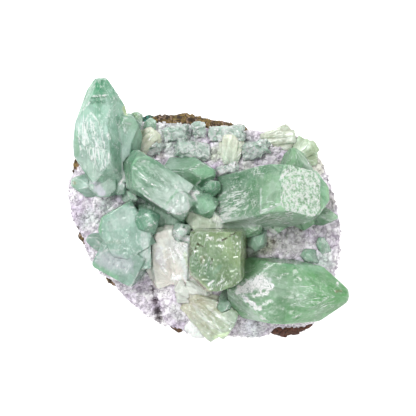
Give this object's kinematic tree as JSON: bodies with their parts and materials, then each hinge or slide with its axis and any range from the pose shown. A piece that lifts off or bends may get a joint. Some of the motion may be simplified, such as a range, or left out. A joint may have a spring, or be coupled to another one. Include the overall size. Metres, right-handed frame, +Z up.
{
  "type": "apophyllite and stilbite specimen",
  "caption": "Hand-size mineral specimen: green apophyllite crystals and cream stilbite sheaves on a white drusy crust over a basalt plate with a sawn flat base.",
  "frame": {"origin": "in the sawn base, under the middle of the plate", "axes": "+Z up from the base through the crystals, +Y towards the tip of the tall left-hand crystal, +X towards the tip of the large lower right-hand crystal"},
  "size_m": [0.0856, 0.0795, 0.039],
  "materials": {
    "basalt": "rough dark brown amygdaloidal basalt with ochre and teal coatings",
    "druse": "sparkling white drusy crust with a faint lavender tint",
    "green_apophyllite": "mint green, cloudy to clear, vitreous faces",
    "olive_apophyllite": "olive green, cloudy, with brown inclusions",
    "pale_apophyllite": "pale greenish white, etched and frosted",
    "stilbite": "cream to peach, pearly and translucent"
  },
  "bodies": {
    "root": {"basalt_matrix": "basalt", "drusy_crust": "druse", "apophyllite_left_point": "green_apophyllite", "apophyllite_upper_middle": "green_apophyllite", "apophyllite_lower_left": "green_apophyllite", "apophyllite_right_block": "green_apophyllite", "apophyllite_lower_right_point": "green_apophyllite", "apophyllite_olive_centre": "olive_apophyllite", "apophyllite_inner_pair": "green_apophyllite", "apophyllite_left_gap": "green_apophyllite", "apophyllite_top_rim": "green_apophyllite", "apophyllite_lower_gap": "green_apophyllite", "apophyllite_centre_gap": "green_apophyllite", "apophyllite_right_gap": "green_apophyllite", "apophyllite_right_rim": "green_apophyllite", "apophyllite_etched_1": "pale_apophyllite", "apophyllite_etched_2": "pale_apophyllite", "apophyllite_etched_3": "pale_apophyllite", "apophyllite_etched_4": "pale_apophyllite", "apophyllite_etched_5": "pale_apophyllite", "apophyllite_etched_6": "pale_apophyllite", "apophyllite_etched_7": "pale_apophyllite", "stilbite_centre_sheaf": "stilbite", "stilbite_lower_fan": "stilbite", "stilbite_white_lobe": "stilbite", "stilbite_grey_fan": "stilbite", "stilbite_upper_left": "stilbite", "stilbite_upper_middle": "stilbite", "stilbite_upper_right": "stilbite", "stilbite_right_rim": "stilbite"}
  },
  "joints": []
}
